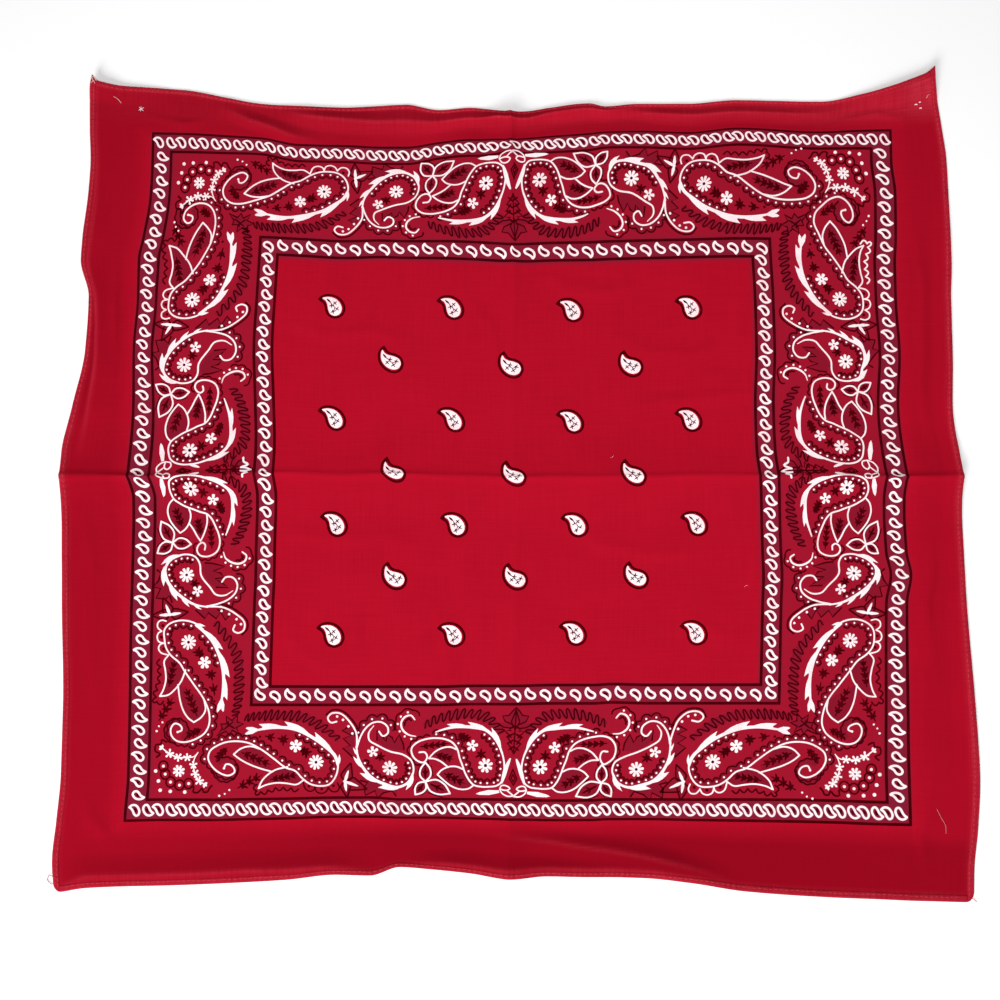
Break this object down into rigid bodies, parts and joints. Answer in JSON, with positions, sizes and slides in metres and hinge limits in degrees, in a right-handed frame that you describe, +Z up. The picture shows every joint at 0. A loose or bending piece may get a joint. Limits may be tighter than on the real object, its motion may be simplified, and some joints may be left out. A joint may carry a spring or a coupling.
{
  "type": "bandana",
  "caption": "Printed cotton bandana laid flat, with narrow stitched hems, pressed creases and edges that curl and ripple.",
  "frame": {"origin": "on the table under the middle of the laid cloth's bounding box", "axes": "+X across the cloth towards its right edge, +Y up the cloth towards its top edge, +Z up off the table"},
  "size_m": [0.568, 0.5228, 0.0108],
  "materials": {
    "printed_cotton": "plain-weave cotton, matt, red with a white and near-black print",
    "hem_cotton": "the same red cotton turned and stitched, matt"
  },
  "bodies": {
    "root": {"panel": "printed_cotton", "hem_left": "hem_cotton", "hem_right": "hem_cotton", "hem_top": "hem_cotton", "hem_bottom": "hem_cotton"}
  },
  "joints": []
}
